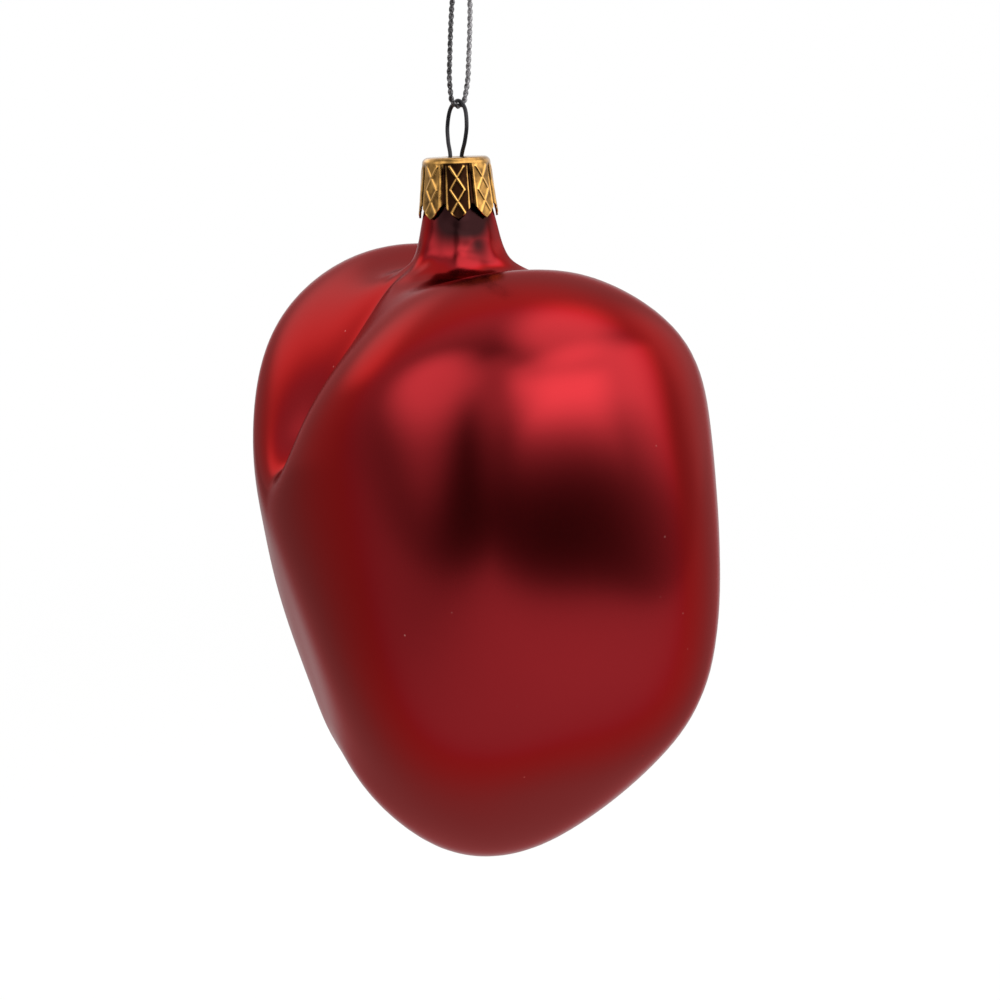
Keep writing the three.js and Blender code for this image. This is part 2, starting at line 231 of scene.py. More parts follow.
class HangerSettings(bpy.types.PropertyGroup):
    """Wire hanger and thread."""

    wire: bpy.props.FloatVectorProperty(
        name="Wire", description="Colour of the drawn spring wire",
        subtype="COLOR", size=4, min=0, max=1, default=linear("#2C2B2D"))
    thread: bpy.props.FloatVectorProperty(
        name="Thread", description="Colour of the metallic yarn's bright strips",
        subtype="COLOR", size=4, min=0, max=1, default=linear("#8C8A8C"))
    # The dark end of the yarn's colour: its grey core, and also the painted shade on one side of the loop.
    thread_shade: bpy.props.FloatVectorProperty(
        name="Thread shade", description="Colour of the tarnished yarn",
        subtype="COLOR", size=4, min=0, max=1, default=linear("#1E1D1E"))
    lay: bpy.props.FloatProperty(
        name="Lay", description="Length of thread in one turn of its plies", default=1.9 * MM, unit="LENGTH")


class StageSettings(bpy.types.PropertyGroup):
    """Camera, lamps and floor."""

    azimuth: bpy.props.FloatProperty(
        name="Azimuth", description="Way round from the heart's front", subtype="ANGLE",
        default=math.radians(71.90))
    elevation: bpy.props.FloatProperty(
        name="Elevation", description="Height of the view", subtype="ANGLE", default=math.radians(14.262))
    roll: bpy.props.FloatProperty(
        name="Roll", description="Turn of the picture about the line of sight", subtype="ANGLE",
        default=math.radians(2.321))
    distance: bpy.props.FloatProperty(
        name="Distance", description="Camera to the middle of the heart", default=0.232626, unit="LENGTH")
    lens: bpy.props.FloatProperty(
        name="Lens", description="Focal length on a 36 mm sensor", default=53.976)
    aim_right: bpy.props.FloatProperty(
        name="Aim right", description="How far right of the heart's middle the camera aims",
        default=4.109 * MM, unit="LENGTH")
    aim_up: bpy.props.FloatProperty(
        name="Aim up", description="How far above the heart's middle the camera aims",
        default=6.879 * MM, unit="LENGTH")
    floor_drop: bpy.props.FloatProperty(
        name="Floor drop", description="Clear height under the hanging heart", default=0.16, unit="LENGTH")
    shadow_reach: bpy.props.FloatProperty(
        name="Shadow reach", description="Where the heart's soft shadow has faded out",
        default=0.9, unit="LENGTH")
    lamp_distance: bpy.props.FloatProperty(
        name="Lamp distance", description="Softboxes to the middle of the heart", default=1.4, unit="LENGTH")
    room: bpy.props.FloatProperty(
        name="Room", description="Brightness of the room's walls in soft light", default=0.35, min=0)


def spun_sheet(mesh, rows, steps, place):
    """Spins a line of points round Z and moves each point where place(row, angle) puts it."""
    settled = set(mesh.verts)
    line = [bmesh.ops.create_vert(mesh, co=(1, 0, row))["vert"][0] for row in range(rows)]
    edges = [mesh.edges.new(pair) for pair in zip(line, line[1:])]
    bmesh.ops.spin(
        mesh, geom=line + edges, cent=(0, 0, 0), axis=(0, 0, 1), angle=FULL_TURN, steps=steps,
        use_merge=True)
    for point in mesh.verts:
        if point not in settled:
            angle = math.atan2(point.co.y, point.co.x)
            point.co = place(round(point.co.z), angle)


def finished(name, mesh, material, smooth=True):
    """Closes seams and poles, turns the faces outwards and makes the object."""
    bmesh.ops.remove_doubles(mesh, verts=mesh.verts, dist=1e-7)
    bmesh.ops.recalc_face_normals(mesh, faces=mesh.faces)
    data = bpy.data.meshes.new(name)
    mesh.to_mesh(data)
    mesh.free()
    data.polygons.foreach_set("use_smooth", [smooth] * len(data.polygons))
    data.materials.append(material)
    piece = bpy.data.objects.new(name, data)
    bpy.context.scene.collection.objects.link(piece)
    return piece


def spline_weights(t, count):
    """First control and the four weights of a clamped, even cubic spline at t from 0 to 1."""
    spans = count - 3
    x = min(t * spans, spans - 1e-9)
    first = int(x)
    knots = [min(max(i - 3, 0), spans) for i in range(count + 4)]
    weights = [1.0]
    for degree in range(1, 4):
        grown = [0.0] * (degree + 1)
        for i, weight in enumerate(weights):
            left = knots[first + 4 - degree + i]
            right = knots[first + 4 + i]
            share = (x - left) / (right - left)
            grown[i] += weight * (1 - share)
            grown[i + 1] += weight * share
        weights = grown
    return first, weights


def heart_controls(angle):
    """Control points of the heart's profile at one angle round the neck."""
    along, across = abs(math.cos(angle)), abs(math.sin(angle))
    lift = math.hypot(along, VALLEY_SOFTNESS) - VALLEY_SOFTNESS
    rise = (lift / (math.hypot(1, VALLEY_SOFTNESS) - VALLEY_SOFTNESS)) ** VALLEY_POWER
    controls = []
    for over, over_height, down, down_height, share, power in HEART_STATIONS:
        oval = ((along / over) ** power + (across / down) ** power) ** (-1 / power) if over else 0
        reach = share * (down + (over - down) * rise) + (1 - share) * oval
        height = down_height + (over_height - down_height) * (share * rise + (1 - share) * along ** 2)
        controls.append((reach, height))
    return controls


def smooth_route(points, per_span):
    """A smooth curve through points, with a fixed number of steps between each two."""
    ends = [points[0] * 2 - points[1]] + list(points) + [points[-1] * 2 - points[-2]]
    route = []
    for a, b, c, d in zip(ends, ends[1:], ends[2:], ends[3:]):
        gaps = [max((q - p).length ** 0.5, 1e-6) for p, q in ((a, b), (b, c), (c, d))]
        leave = ((b - a) / gaps[0] - (c - a) / (gaps[0] + gaps[1]) + (c - b) / gaps[1]) * gaps[1]
        arrive = ((c - b) / gaps[1] - (d - b) / (gaps[1] + gaps[2]) + (d - c) / gaps[2]) * gaps[1]
        for step in range(per_span):
            t = step / per_span
            route.append(
                b * (2 * t ** 3 - 3 * t ** 2 + 1) + leave * (t ** 3 - 2 * t ** 2 + t)
                + c * (3 * t ** 2 - 2 * t ** 3) + arrive * (t ** 3 - t ** 2))
    route.append(points[-1].copy())
    return route


def route_frames(route):
    """Two directions across a route at each of its points, carried along it without twist."""
    ways = [(b - a).normalized() for a, b in zip([route[0]] + route[:-1], route[1:] + [route[-1]])]
    side = ways[0].orthogonal().normalized()
    frames = []
    for way in ways:
        side = (side - way * side.dot(way)).normalized()
        frames.append((side, way.cross(side)))
    return frames


def round_bar(mesh, route, radius, sides, offset=0.0, turns_per_length=0.0, start=0.0):
    """Adds a round bar along a route, closed at both ends, which may wind round it as one ply of a yarn."""
    frames = route_frames(route)
    runs = [0.0]
    for a, b in zip(route, route[1:]):
        runs.append(runs[-1] + (b - a).length)
    last = len(route) - 1

    def place(row, angle):
        inner = min(max(row - 1, 0), last)
        side, over = frames[inner]
        turn = start + FULL_TURN * runs[inner] * turns_per_length
        centre = route[inner] + (side * math.cos(turn) + over * math.sin(turn)) * offset
        if row in (0, last + 2):
            return centre
        return centre + (side * math.cos(angle) + over * math.sin(angle)) * radius

    spun_sheet(mesh, len(route) + 2, sides, place)


def twisted_yarn(mesh, route, lay):
    """Adds the two plies of a yarn along a route."""
    for start in (0, math.pi):
        round_bar(mesh, route, PLY_RADIUS * MM, PLY_SIDES, PLY_OFFSET * MM, 1 / lay, start)


def node(tree, kind, settings=None, links=None):
    """Adds a node, sets its properties or sockets, and links its inputs."""
    made = tree.nodes.new(kind)
    for key, value in (settings or {}).items():
        if isinstance(key, str) and hasattr(made, key):
            setattr(made, key, value)
        else:
            made.inputs[key].default_value = value
    for key, (source, output) in (links or {}).items():
        tree.links.new(source.outputs[output], made.inputs[key])
    return made


def sorted_inputs(values, first):
    """Splits values for sockets that follow one another into fixed ones and other nodes' outputs."""
    fixed, linked = {}, {}
    for socket, value in enumerate(values, first):
        if isinstance(value, tuple) and isinstance(value[0], bpy.types.Node):
            linked[socket] = value
        else:
            fixed[socket] = value
    return fixed, linked


def arithmetic(tree, operation, *values, clamp=False):
    """Does one operation on numbers, each a fixed one or another node's output."""
    fixed, linked = sorted_inputs(values, 0)
    return node(tree, "ShaderNodeMath", {"operation": operation, "use_clamp": clamp, **fixed}, linked)


def blend(tree, share, first, second):
    """Mixes two colours, each a fixed one or another node's output."""
    fixed, linked = sorted_inputs((first, second), 6)
    return node(tree, "ShaderNodeMix", {"data_type": "RGBA", **fixed}, {0: share, **linked})


def choice(tree, share, first, second):
    """Mixes two numbers, each a fixed one or another node's output."""
    fixed, linked = sorted_inputs((first, second), 2)
    return node(tree, "ShaderNodeMix", {"data_type": "FLOAT", **fixed}, {0: share, **linked})


def ramp(tree, source, start, end, smooth=False):
    """Maps a value between two pairs of input and output, and holds it level beyond them."""
    sockets = {"From Min": start[0], "From Max": end[0], "To Min": start[1], "To Max": end[1]}
    kind = "SMOOTHSTEP" if smooth else "LINEAR"
    return node(tree, "ShaderNodeMapRange", {**sockets, "interpolation_type": kind}, {"Value": source})


def noise(tree, place, size, detail):
    """Noise in the object's own space, with blotches of about one size in metres."""
    return node(
        tree, "ShaderNodeTexNoise", {"Scale": 1 / size, "Detail": detail}, {"Vector": (place, "Object")})


def measured(tree, operation, source, vector):
    """Compares a vector with a fixed one, by distance, dot product or difference."""
    return node(tree, "ShaderNodeVectorMath", {"operation": operation, 1: vector}, {0: source})


def new_material(name):
    """An empty node material and its tree."""
    material = bpy.data.materials.new(name)
    material.use_nodes = True
    material.node_tree.nodes.clear()
    return material, material.node_tree


def satin_red_lacquer(settings):
    """Transparent red lacquer sprayed over glass that is silvered inside: it reflects like red metal with a
    soft sheen, and its clear skin greys the edges. The hand-drawn neck is wavy, and on it under the cap a
    patch and a spot of painted shade are laid in a dark colour. A few dust grains sit in the lacquer."""
    material, tree = new_material("satin red lacquer on silvered glass")
    place = node(tree, "ShaderNodeTexCoord")
    cloud = noise(tree, place, 18 * MM, 3.0)
    tint = blend(tree, (cloud, "Fac"), settings.lacquer_shade, settings.lacquer)
    ripple = noise(tree, place, 6 * MM, 1.0)
    # Painted shade: a dark colour is painted in a ragged patch and a spot on the neck under the cap.
    patch = measured(tree, "DISTANCE", (place, "Object"), placed(PAINTED_NECK_SHADE_PATCH))
    spot = measured(tree, "DISTANCE", (place, "Object"), placed(PAINTED_NECK_SHADE_SPOT))
    smaller = arithmetic(tree, "ADD", (spot, "Value"), 2.8 * MM)
    nearer = arithmetic(tree, "MINIMUM", (patch, "Value"), (smaller, "Value"))
    ragged = arithmetic(tree, "MULTIPLY_ADD", (ripple, "Fac"), 4 * MM, (nearer, "Value"))
    painted_neck_shade = ramp(tree, (ragged, "Value"), (5.2 * MM, 1.0), (8.4 * MM, 0.0), smooth=True)
    with_painted_shade = blend(tree, (painted_neck_shade, "Result"), (tint, 2), settings.painted_neck_shade)
    dust = node(
        tree, "ShaderNodeTexVoronoi", {"Scale": 1 / (5.5 * MM), "Randomness": 1.0},
        {"Vector": (place, "Object")})
    grains = ramp(tree, (dust, "Distance"), (0.012, 0.6), (0.03, 0.0))
    dust_and_painted_shade = blend(tree, (grains, "Result"), (with_painted_shade, 2), linear("#C98A84"))
    grain = noise(tree, place, 0.35 * MM, 2.0)
    height = arithmetic(tree, "MULTIPLY_ADD", (grains, "Result"), 12.0, (grain, "Fac"))
    skin = node(
        tree, "ShaderNodeBump", {"Strength": 0.05, "Distance": 0.012 * MM}, {"Height": (height, "Value")})
    reach = measured(tree, "DISTANCE", (place, "Object"), placed(NECK_MIDDLE))
    neck = ramp(tree, (reach, "Value"), (8 * MM, 1.0), (16 * MM, 0.0), smooth=True)
    wave = node(
        tree, "ShaderNodeBump", {"Distance": 2 * MM},
        {"Strength": (neck, "Result"), "Height": (ripple, "Fac"), "Normal": (skin, "Normal")})
    shader = node(
        tree, "ShaderNodeBsdfPrincipled",
        {"distribution": "GGX", "Metallic": 1.0, "Roughness": 0.21, "Specular Tint": linear("#B4393F"),
         "Coat Weight": 0.1, "Coat Roughness": 0.21, "Coat IOR": 1.5},
        {"Base Color": (dust_and_painted_shade, 2), "Normal": (wave, "Normal"), "Coat Normal": (wave, "Normal")})
    node(tree, "ShaderNodeOutputMaterial", None, {"Surface": (shader, "BSDF")})
    return material


def antique_gold(settings):
    """Thin stamped brass sheet with a gold wash: bright where handling rubs it, brown in the stamped grooves
    and blotched by tarnish. The petal nearest to +X is painted dark, as painted shade."""
    material, tree = new_material("antique gold washed brass")
    place = node(tree, "ShaderNodeTexCoord")
    relief = node(tree, "ShaderNodeAttribute", {"attribute_name": "relief"})
    spots = noise(tree, place, 1.3 * MM, 4.0)
    # The shine noted on the cap holds wear and the painted shade of the petal nearest to +X.
    wear_and_shade = arithmetic(tree, "MULTIPLY_ADD", (spots, "Fac"), 0.8, (relief, "Fac"))
    share = ramp(tree, (wear_and_shade, "Value"), (0.475, 0.0), (1.175, 1.0), smooth=True)
    tint = blend(tree, (share, "Result"), settings.patina, settings.gold)
    sheen = ramp(tree, (share, "Result"), (0.0, 0.3), (1.0, 0.14))
    bump = node(
        tree, "ShaderNodeBump", {"Strength": 0.08, "Distance": 0.05 * MM}, {"Height": (spots, "Fac")})
    shader = node(
        tree, "ShaderNodeBsdfPrincipled", {"Metallic": 1.0},
        {"Base Color": (tint, 2), "Roughness": (sheen, "Result"), "Normal": (bump, "Normal")})
    node(tree, "ShaderNodeOutputMaterial", None, {"Surface": (shader, "BSDF")})
    return material


def drawn_wire(settings):
    """Tinned spring wire: drawn through a die, so it is smooth and grey, with a dull smear of handling."""
    material, tree = new_material("drawn spring steel wire")
    place = node(tree, "ShaderNodeTexCoord")
    smear = noise(tree, place, 1.2 * MM, 3.0)
    sheen = ramp(tree, (smear, "Fac"), (0.3, 0.28), (0.7, 0.42))
    shader = node(
        tree, "ShaderNodeBsdfPrincipled", {"Base Color": settings.wire, "Metallic": 1.0},
        {"Roughness": (sheen, "Result")})
    node(tree, "ShaderNodeOutputMaterial", None, {"Surface": (shader, "BSDF")})
    return material


def metallic_yarn(settings):
    """Two plies of fine metallised strip twisted together: silver glints over a grey core. One side of the
    loop is painted darker than the other, as painted shade."""
    material, tree = new_material("twisted metallised polyester yarn")
    place = node(tree, "ShaderNodeTexCoord")
    strips = noise(tree, place, 0.3 * MM, 2.0)
    split = node(tree, "ShaderNodeSeparateXYZ", None, {"Vector": (place, "Object")})
    # Painted shade and light: the side of the loop towards -Y is painted darker, the side towards +Y
    # lighter.
    painted_side_shade = ramp(tree, (split, "Y"), (-1.5 * MM, -0.4), (1.5 * MM, 0.35))
    patches = ramp(tree, (strips, "Fac"), (0.3, 0.0), (0.7, 1.0))
    bright = arithmetic(tree, "ADD", (patches, "Result"), (painted_side_shade, "Result"), clamp=True)
    tint = blend(tree, (bright, "Value"), settings.thread_shade, settings.thread)
    bump = node(
        tree, "ShaderNodeBump", {"Strength": 0.3, "Distance": 0.05 * MM}, {"Height": (strips, "Fac")})
    shader = node(
        tree, "ShaderNodeBsdfPrincipled", {"Metallic": 0.5, "Roughness": 0.4},
        {"Base Color": (tint, 2), "Normal": (bump, "Normal")})
    node(tree, "ShaderNodeOutputMaterial", None, {"Surface": (shader, "BSDF")})
    return material


def background_rays(tree):
    """A value that is 1 for rays that show the white background: straight, reflected or through glass."""
    light = node(tree, "ShaderNodeLightPath")
    mirrored = arithmetic(tree, "ADD", (light, "Is Camera Ray"), (light, "Is Glossy Ray"))
    return arithmetic(tree, "ADD", (mirrored, "Value"), (light, "Is Transmission Ray"), clamp=True)


def paper_sweep(stage, centre):
    """Matt white paper: evenly white, with a soft shadow in its middle that fades out before its edge. In
    the heart's reflections it gets dimmer away from the lamps."""
    material, tree = new_material("matt white paper sweep")
    place = node(tree, "ShaderNodeTexCoord")
    reach = measured(tree, "DISTANCE", (place, "Object"), centre)
    even = ramp(
        tree, (reach, "Value"), (0.3 * stage.shadow_reach, 0.9), (stage.shadow_reach, 1.0), smooth=True)
    seen = background_rays(tree)
    share = arithmetic(tree, "MULTIPLY", (seen, "Value"), (even, "Result"))
    paper = node(tree, "ShaderNodeBsdfDiffuse", {"Color": linear("#F2F1F0")})
    bright_way = (math.cos(PAPER_BRIGHT_WAY), math.sin(PAPER_BRIGHT_WAY), 0)
    side = measured(tree, "DOT_PRODUCT", (place, "Object"), bright_way)
    lit = ramp(tree, (side, "Value"), (-0.5, 0.72), (0.25, 1.15))
    light = node(tree, "ShaderNodeLightPath")
    strength = choice(tree, (light, "Is Camera Ray"), (lit, "Result"), 1.0)
    white = node(tree, "ShaderNodeEmission", {"Color": linear("#FFFFFF")}, {"Strength": (strength, 0)})
    mixed = node(
        tree, "ShaderNodeMixShader", None, {0: (share, "Value"), 1: (paper, "BSDF"), 2: (white, "Emission")})
    node(tree, "ShaderNodeOutputMaterial", None, {"Surface": (mixed, "Shader")})
    return material


def white_backdrop(stage, back):
    """A room whose backdrop is white to the camera and in reflections, with a dim part behind the camera."""
    world = bpy.data.worlds.new("white backdrop in a dim room")
    world.use_nodes = True
    tree = world.node_tree
    tree.nodes.clear()
    place = node(tree, "ShaderNodeTexCoord")
    level_back = Vector((back.x, back.y, 0)).normalized()
    facing = measured(tree, "DOT_PRODUCT", (place, "Generated"), level_back)
    backdrop = ramp(tree, (facing, "Value"), (0.98, 0.0), (-0.8, 1.0), smooth=True)
    split = node(tree, "ShaderNodeSeparateXYZ", None, {"Vector": (place, "Generated")})
    ceiling = ramp(tree, (split, "Z"), (0.0, 1.0), (1.0, 1.6))
    walls = arithmetic(tree, "MULTIPLY", (backdrop, "Result"), (ceiling, "Result"))
    seen = background_rays(tree)
    light = node(tree, "ShaderNodeLightPath")
    reflected = choice(tree, (seen, "Value"), stage.room, (walls, "Value"))
    strength = choice(tree, (light, "Is Camera Ray"), (reflected, 0), 1.0)
    glow = node(tree, "ShaderNodeBackground", {"Color": linear("#FFFFFF")}, {"Strength": (strength, 0)})
    node(tree, "ShaderNodeOutputWorld", None, {"Surface": (glow, "Background")})
    return world


def soft_rim(lamp):
    """Lets a softbox's cloth fade from its bright middle to its rim."""
    lamp.use_nodes = True
    tree = lamp.node_tree
    tree.nodes.clear()
    cloth = node(tree, "ShaderNodeNewGeometry")
    middle = (0.5, 0.5, 0)
    if lamp.shape == "ELLIPSE":
        reach = measured(tree, "DISTANCE", (cloth, "Parametric"), middle)
    else:
        off = measured(tree, "SUBTRACT", (cloth, "Parametric"), middle)
        half = node(tree, "ShaderNodeVectorMath", {"operation": "ABSOLUTE"}, {0: (off, "Vector")})
        split = node(tree, "ShaderNodeSeparateXYZ", None, {"Vector": (half, "Vector")})
        reach = arithmetic(tree, "MAXIMUM", (split, "X"), (split, "Y"))
    fade = ramp(tree, (reach, "Value"), (0.15, 1.0), (0.5, 0.0), smooth=True)
    glow = node(tree, "ShaderNodeEmission", None, {"Strength": (fade, "Result")})
    node(tree, "ShaderNodeOutputLight", None, {"Surface": (glow, "Emission")})


def camera_axes(stage):
    """Right, up and back directions of the photograph's camera."""
    sin_a, cos_a = math.sin(stage.azimuth), math.cos(stage.azimuth)
    sin_e, cos_e = math.sin(stage.elevation), math.cos(stage.elevation)
    back = Vector((sin_a * cos_e, -cos_a * cos_e, sin_e))
    level = Vector((cos_a, sin_a, 0))
    above = back.cross(level)
    right = level * math.cos(stage.roll) - above * math.sin(stage.roll)
    up = level * math.sin(stage.roll) + above * math.cos(stage.roll)
    return right, up, back


class ORNAMENT_OT_camera(bpy.types.Operator):
    """Sets the camera at the photograph's view of the heart"""

    bl_idname = "ornament.camera"
    bl_label = "Camera"

    def execute(self, context):
        stage = context.scene.ornament_stage
        right, up, back = camera_axes(stage)
        aim = placed(HEART_MIDDLE) + right * stage.aim_right + up * stage.aim_up
        data = bpy.data.cameras.new("camera")
        data.sensor_width = 36
        data.lens = stage.lens
        data.clip_start = 0.01
        camera = bpy.data.objects.new("camera", data)
        turn = Matrix((right, up, back)).transposed().to_4x4()
        camera.matrix_world = Matrix.Translation(aim + back * stage.distance) @ turn
        context.scene.collection.objects.link(camera)
        context.scene.camera = camera
        return {"FINISHED"}


class ORNAMENT_OT_thread(bpy.types.Operator):
    """Winds the thread loop and its knot from two plies"""

    bl_idname = "ornament.thread"
    bl_label = "Thread and knot"

    def execute(self, context):
        settings = context.scene.ornament_hanger
        yarn = metallic_yarn(settings)
        bottom = EYE_HEIGHT - WIRE_RADIUS - THREAD_GAP - THREAD_RADIUS
        bend = bottom + THREAD_BEND
        rising = [
            (0.35, LOOP_HEIGHT + 1.3), (0.8, LOOP_HEIGHT - 0.2), (1.2, LOOP_HEIGHT - 1.8),
            (1.6, LOOP_HEIGHT - 3.8), (1.75, LOOP_HEIGHT - 7), (1.75, bend + 5), (1.7, bend + 2.5),
            (THREAD_BEND, bend),
        ]
        turn = []
        for angle in (30, 60, 90, 120, 150):
            around = math.radians(angle)
            turn.append((THREAD_BEND * math.cos(around), bend - THREAD_BEND * math.sin(around)))
        falling = [(-y, z) for y, z in reversed(rising)]
        route = smooth_route([hung((0, y, z)) for y, z in rising + turn + falling], per_span=16)
        mesh = bmesh.new()
        twisted_yarn(mesh, route, settings.lay)
        thread = finished("thread_loop", mesh, yarn)
        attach(thread, "thread_loop")
        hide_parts("hanging_thread")

        middle = LOOP_HEIGHT + 0.3 + KNOT_HEIGHT / 2
        top = middle + KNOT_HEIGHT / 2
        mesh = bmesh.new()
        wraps = []
        for step in range(KNOT_WRAP_POINTS):
            t = FULL_TURN * step / (KNOT_WRAP_POINTS - 1)
            wraps.append(hung((
                (math.sin(t) + 2 * math.sin(2 * t)) * KNOT_WRAP_REACH,
                (math.cos(t) - 2 * math.cos(2 * t)) * KNOT_WRAP_REACH,
                middle - math.sin(3 * t) * KNOT_WRAP_RISE)))
        twisted_yarn(mesh, smooth_route(wraps, per_span=6), settings.lay)
        for side in (-1, 1):
            ends = ((0.3, middle), (0.8, top), (1.8, top + TAIL_LENGTH * 0.6), (2.6, top + TAIL_LENGTH))
            tail = smooth_route([hung((0, side * y, z)) for y, z in ends], per_span=20)
            twisted_yarn(mesh, tail, settings.lay)
        knot = finished("thread_knot_wound", mesh, yarn)
        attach(knot, "thread_loop")
        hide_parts("thread_knot")
        return {"FINISHED"}


class ORNAMENT_OT_heart(bpy.types.Operator):
    """Lofts the glass heart between the profile over its lobes and the profile down its valley"""

    bl_idname = "ornament.heart"
    bl_label = "Glass heart"

    def execute(self, context):
        settings = context.scene.ornament_heart
        weights = [spline_weights(row / (HEART_ROWS - 1), len(HEART_STATIONS)) for row in range(HEART_ROWS)]
        profiles = {}

        def place(row, even):
            """Point of the shell, with the angles drawn closer together in the valley."""
            angle = even + VALLEY_CROWDING * math.sin(2 * even)
            key = round(angle, 5)
            if key not in profiles:
                profiles[key] = heart_controls(angle)
            first, shares = weights[row]
            controls = profiles[key][first:first + 4]
            reach = sum(share * control[0] for share, control in zip(shares, controls))
            height = sum(share * control[1] for share, control in zip(shares, controls))
            return placed((reach * math.cos(angle), reach * math.sin(angle), height))

        mesh = bmesh.new()
        spun_sheet(mesh, HEART_ROWS, HEART_STEPS, place)
        heart = finished("heart_shell", mesh, satin_red_lacquer(settings))
        wall = heart.modifiers.new("wall", "SOLIDIFY")
        wall.thickness = settings.wall
        wall.offset = -1
        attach(heart, "heart")
        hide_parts("glass_heart")
        return {"FINISHED"}


class ORNAMENT_OT_cap(bpy.types.Operator):
    """Stamps the cap: a slotted top, eight petals and a chain of raised diamonds on each petal"""

    bl_idname = "ornament.cap"
    bl_label = "Cap"

    def execute(self, context):
        settings = context.scene.ornament_cap
        plate_rows, edge_rows, skirt_rows, steps = 7, 9, 74, 320
        flat = CAP_TOP_RADIUS - CAP_EDGE
        shines = {}

        def slot_reach(angle):
            """Distance from the axis to the slot's edge, in the cap's own turn."""
            across = abs(math.sin(angle - (EYE_TURN - CAP_TURN)))
            along = abs(math.cos(angle - (EYE_TURN - CAP_TURN)))
            straight = SLOT_HALF_LENGTH - SLOT_HALF_WIDTH
            reach = SLOT_HALF_WIDTH / max(across, 1e-9)
            if reach * along <= straight:
                return reach
            return along * straight + math.sqrt(max(SLOT_HALF_WIDTH ** 2 - (across * straight) ** 2, 0))

        def relief(offset, depth, reach):
            """Share of the stamped ridge at a place on a petal: two zigzags that cross in a chain of
            diamonds, and a border on each side."""
            across = offset * FULL_TURN / PETALS * reach
            swing = abs(((depth / DIAMOND_LENGTH + DIAMOND_START) % 1) * 2 - 1) * 2 - 1
            off_zigzag = abs(abs(across) - DIAMOND_HALF_WIDTH * abs(swing))
            off_border = abs(abs(across) - BORDER_REACH)
            zigzag = math.exp(-(off_zigzag / RIDGE_HALF_WIDTH) ** 2)
            border = BORDER_SHARE * math.exp(-(off_border / BORDER_HALF_WIDTH) ** 2)
            return max(zigzag, border)

        def place(row, angle):
            """Point of the cap, which also notes how bright its gold is there, from wear and painted shade.
            The petal nearest to +X gets no shine from wear, as painted shade, so it stays dark."""
            offset = (angle / FULL_TURN * PETALS + 0.5) % 1 - 0.5
            side = abs(offset) * 2
            shine = PLATE_SHINE
            if row < plate_rows:
                share = row / (plate_rows - 1)
                inner = slot_reach(angle)
                reach = inner + (flat - inner) * share
                height = CAP_TOP
            elif row < plate_rows + edge_rows:
                turn = (row - plate_rows + 1) / (edge_rows + 1) * math.pi / 2
                reach = flat + CAP_EDGE * math.sin(turn)
                height = CAP_TOP - CAP_EDGE + CAP_EDGE * math.cos(turn)
            else:
                down = (row - plate_rows - edge_rows) / (skirt_rows - 1)
                groove = smooth_step(*GROOVE_BEGIN, side) * min(1, down * 4)
                foot = CAP_TOP - CAP_HEIGHT + PETAL_POINT * side ** FOOT_BEND
                flare = down ** FLARE_BEND
                reach = CAP_TOP_RADIUS + (CAP_SKIRT_RADIUS - CAP_TOP_RADIUS) * flare
                height = CAP_TOP - CAP_EDGE + (foot - CAP_TOP + CAP_EDGE) * down
                ridge = relief(offset, CAP_TOP - height, reach) * (1 - smooth_step(*RIDGE_END, side))
                ridge *= smooth_step(0, 0.08, down)
                reach += ridge * settings.relief / MM - groove * GROOVE_DEPTH
                # Painted shade: the petal nearest to +X gets no shine from wear, so its gold stays dark.
                petal_wear_and_shade = 0 if abs(angle) < math.pi / PETALS else PETAL_SHINE
                shine = petal_wear_and_shade + (RIDGE_SHINE - petal_wear_and_shade) * ridge - GROOVE_DULLING * groove
            around = angle + CAP_TURN
            spot = placed((reach * math.cos(around), reach * math.sin(around), height))
            shines[spot.to_tuple(7)] = shine
            return spot

        mesh = bmesh.new()
        spun_sheet(mesh, plate_rows + edge_rows + skirt_rows, steps, place)
        cap = finished("petal_cap", mesh, antique_gold(settings))
        # The relief attribute carries the gold's shine, from wear and from the painted shade on the petal
        # nearest to +X.
        with_painted_shade = cap.data.attributes.new("relief", "FLOAT", "POINT")
        with_painted_shade.data.foreach_set("value", [shines.get(v.co.to_tuple(7), 0.5) for v in cap.data.vertices])
        sheet = cap.modifiers.new("sheet", "SOLIDIFY")
        sheet.thickness = SHEET * MM
        sheet.offset = -1
        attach(cap, "cap")
        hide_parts("cap")
        return {"FINISHED"}


class ORNAMENT_OT_wire(bpy.types.Operator):
    """Bends the sprung wire: an eye over the cap and two legs that splay in the neck"""

    bl_idname = "ornament.wire"
    bl_label = "Wire hanger"

    def execute(self, context):
        settings = context.scene.ornament_hanger
        half = [
            (LEG_HALF_SPLAY, -LEG_LENGTH),
            ((LEG_HALF_SPLAY + WAIST_HALF_WIDTH) / 2, -LEG_LENGTH / 2),
            (WAIST_HALF_WIDTH, 0),
        ]
        half += [(EYE_HALF_WIDTH * x, EYE_HEIGHT * z) for x, z in EYE_SHAPE]
        left = [hung((-x, 0, z)) for x, z in half]
        right = [hung((x, 0, z)) for x, z in reversed(half)]
        route = smooth_route(left + [hung((0, 0, EYE_HEIGHT))] + right, per_span=18)
        mesh = bmesh.new()
        round_bar(mesh, route, WIRE_RADIUS * MM, sides=16)
        wire = finished("wire_eye", mesh, drawn_wire(settings))
        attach(wire, "hanger")
        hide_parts("wire_hanger")
        return {"FINISHED"}


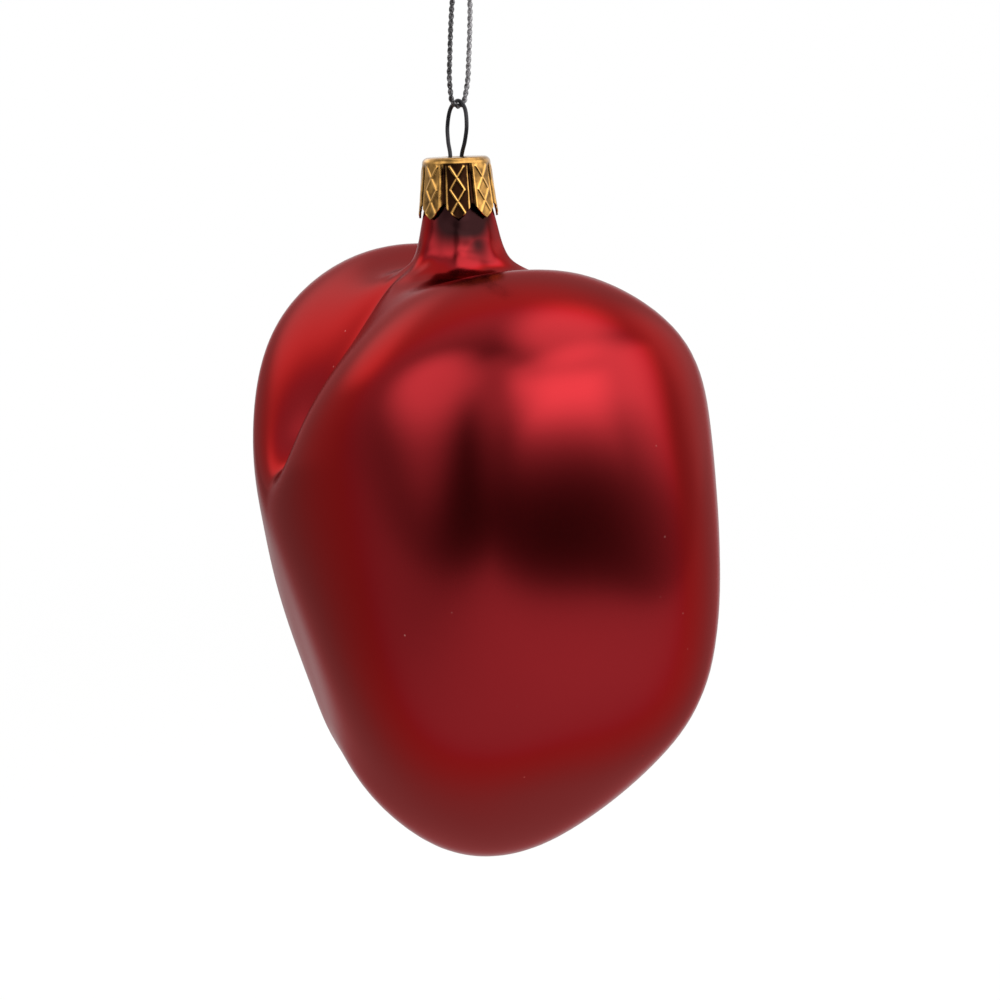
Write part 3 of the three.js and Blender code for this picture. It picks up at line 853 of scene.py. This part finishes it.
class ORNAMENT_OT_stage(bpy.types.Operator):
    """Lays the pale floor and sets the studio lamps and the room"""

    bl_idname = "ornament.stage"
    bl_label = "Stage"

    def execute(self, context):
        stage = context.scene.ornament_stage
        # The sheet ends close by on the near right. The dim room beyond it gives the heart its dark patch.
        under = placed((0, 0, 0)) - Vector((0, 0, stage.floor_drop))
        mesh = bmesh.new()
        bmesh.ops.create_grid(mesh, x_segments=1, y_segments=1, size=0.5)
        bmesh.ops.scale(mesh, verts=mesh.verts, vec=PAPER_SIDES)
        bmesh.ops.translate(mesh, verts=mesh.verts, vec=PAPER_SHIFT)
        bmesh.ops.rotate(mesh, verts=mesh.verts, matrix=Matrix.Rotation(PAPER_TURN, 3, "Z"))
        bmesh.ops.translate(mesh, verts=mesh.verts, vec=under)
        floor = finished("floor", mesh, paper_sweep(stage, under), smooth=False)

        for name, shape, around, above, roll, width, height, brightness in LAMPS:
            data = bpy.data.lights.new(name, "AREA")
            data.shape = shape
            data.size = width
            data.size_y = height
            area = width * height * (math.pi / 4 if shape == "ELLIPSE" else 1)
            data.energy = brightness * math.pi * area
            soft_rim(data)
            lamp = bpy.data.objects.new(name, data)
            round_way = Matrix.Rotation(math.radians(around), 4, "Z")
            rise = Matrix.Rotation(math.radians(90 - above), 4, "Y")
            out = Matrix.Translation((0, 0, stage.lamp_distance))
            quarter = Matrix.Rotation(math.radians(90 + roll), 4, "Z")
            lamp.matrix_world = Matrix.Translation(placed(HEART_MIDDLE)) @ round_way @ rise @ out @ quarter
            context.scene.collection.objects.link(lamp)

        context.scene.world = white_backdrop(stage, camera_axes(stage)[2])
        context.scene.view_settings.view_transform = "Standard"
        return {"FINISHED"}


class ORNAMENT_PT_panel(bpy.types.Panel):
    """Lists the pieces of the ornament and their settings"""

    bl_idname = "ORNAMENT_PT_panel"
    bl_label = "Glass Heart Ornament"
    bl_space_type = "VIEW_3D"
    bl_region_type = "UI"
    bl_category = "Ornament"

    def draw(self, context):
        for operator in OPERATORS:
            self.layout.operator(operator.bl_idname)
        for group in SETTINGS:
            settings = getattr(context.scene, group)
            for name in settings.bl_rna.properties.keys():
                if name not in ("rna_type", "name"):
                    self.layout.prop(settings, name)


SETTINGS = {
    "ornament_heart": HeartSettings,
    "ornament_cap": CapSettings,
    "ornament_hanger": HangerSettings,
    "ornament_stage": StageSettings,
}
OPERATORS = (
    ORNAMENT_OT_camera,
    ORNAMENT_OT_thread,
    ORNAMENT_OT_heart,
    ORNAMENT_OT_cap,
    ORNAMENT_OT_wire,
    ORNAMENT_OT_stage,
)


def register():
    for made in (*SETTINGS.values(), *OPERATORS, ORNAMENT_PT_panel):
        bpy.utils.register_class(made)
    for name, group in SETTINGS.items():
        setattr(bpy.types.Scene, name, bpy.props.PointerProperty(type=group))


def unregister():
    for name in SETTINGS:
        delattr(bpy.types.Scene, name)
    for made in (ORNAMENT_PT_panel, *reversed(OPERATORS), *SETTINGS.values()):
        bpy.utils.unregister_class(made)


def main():
    register()
    bpy.ops.ornament.camera()
    bpy.ops.ornament.thread()
    bpy.ops.ornament.heart()
    bpy.ops.ornament.cap()
    bpy.ops.ornament.wire()
    bpy.ops.ornament.stage()


if __name__ == "__main__":
    main()
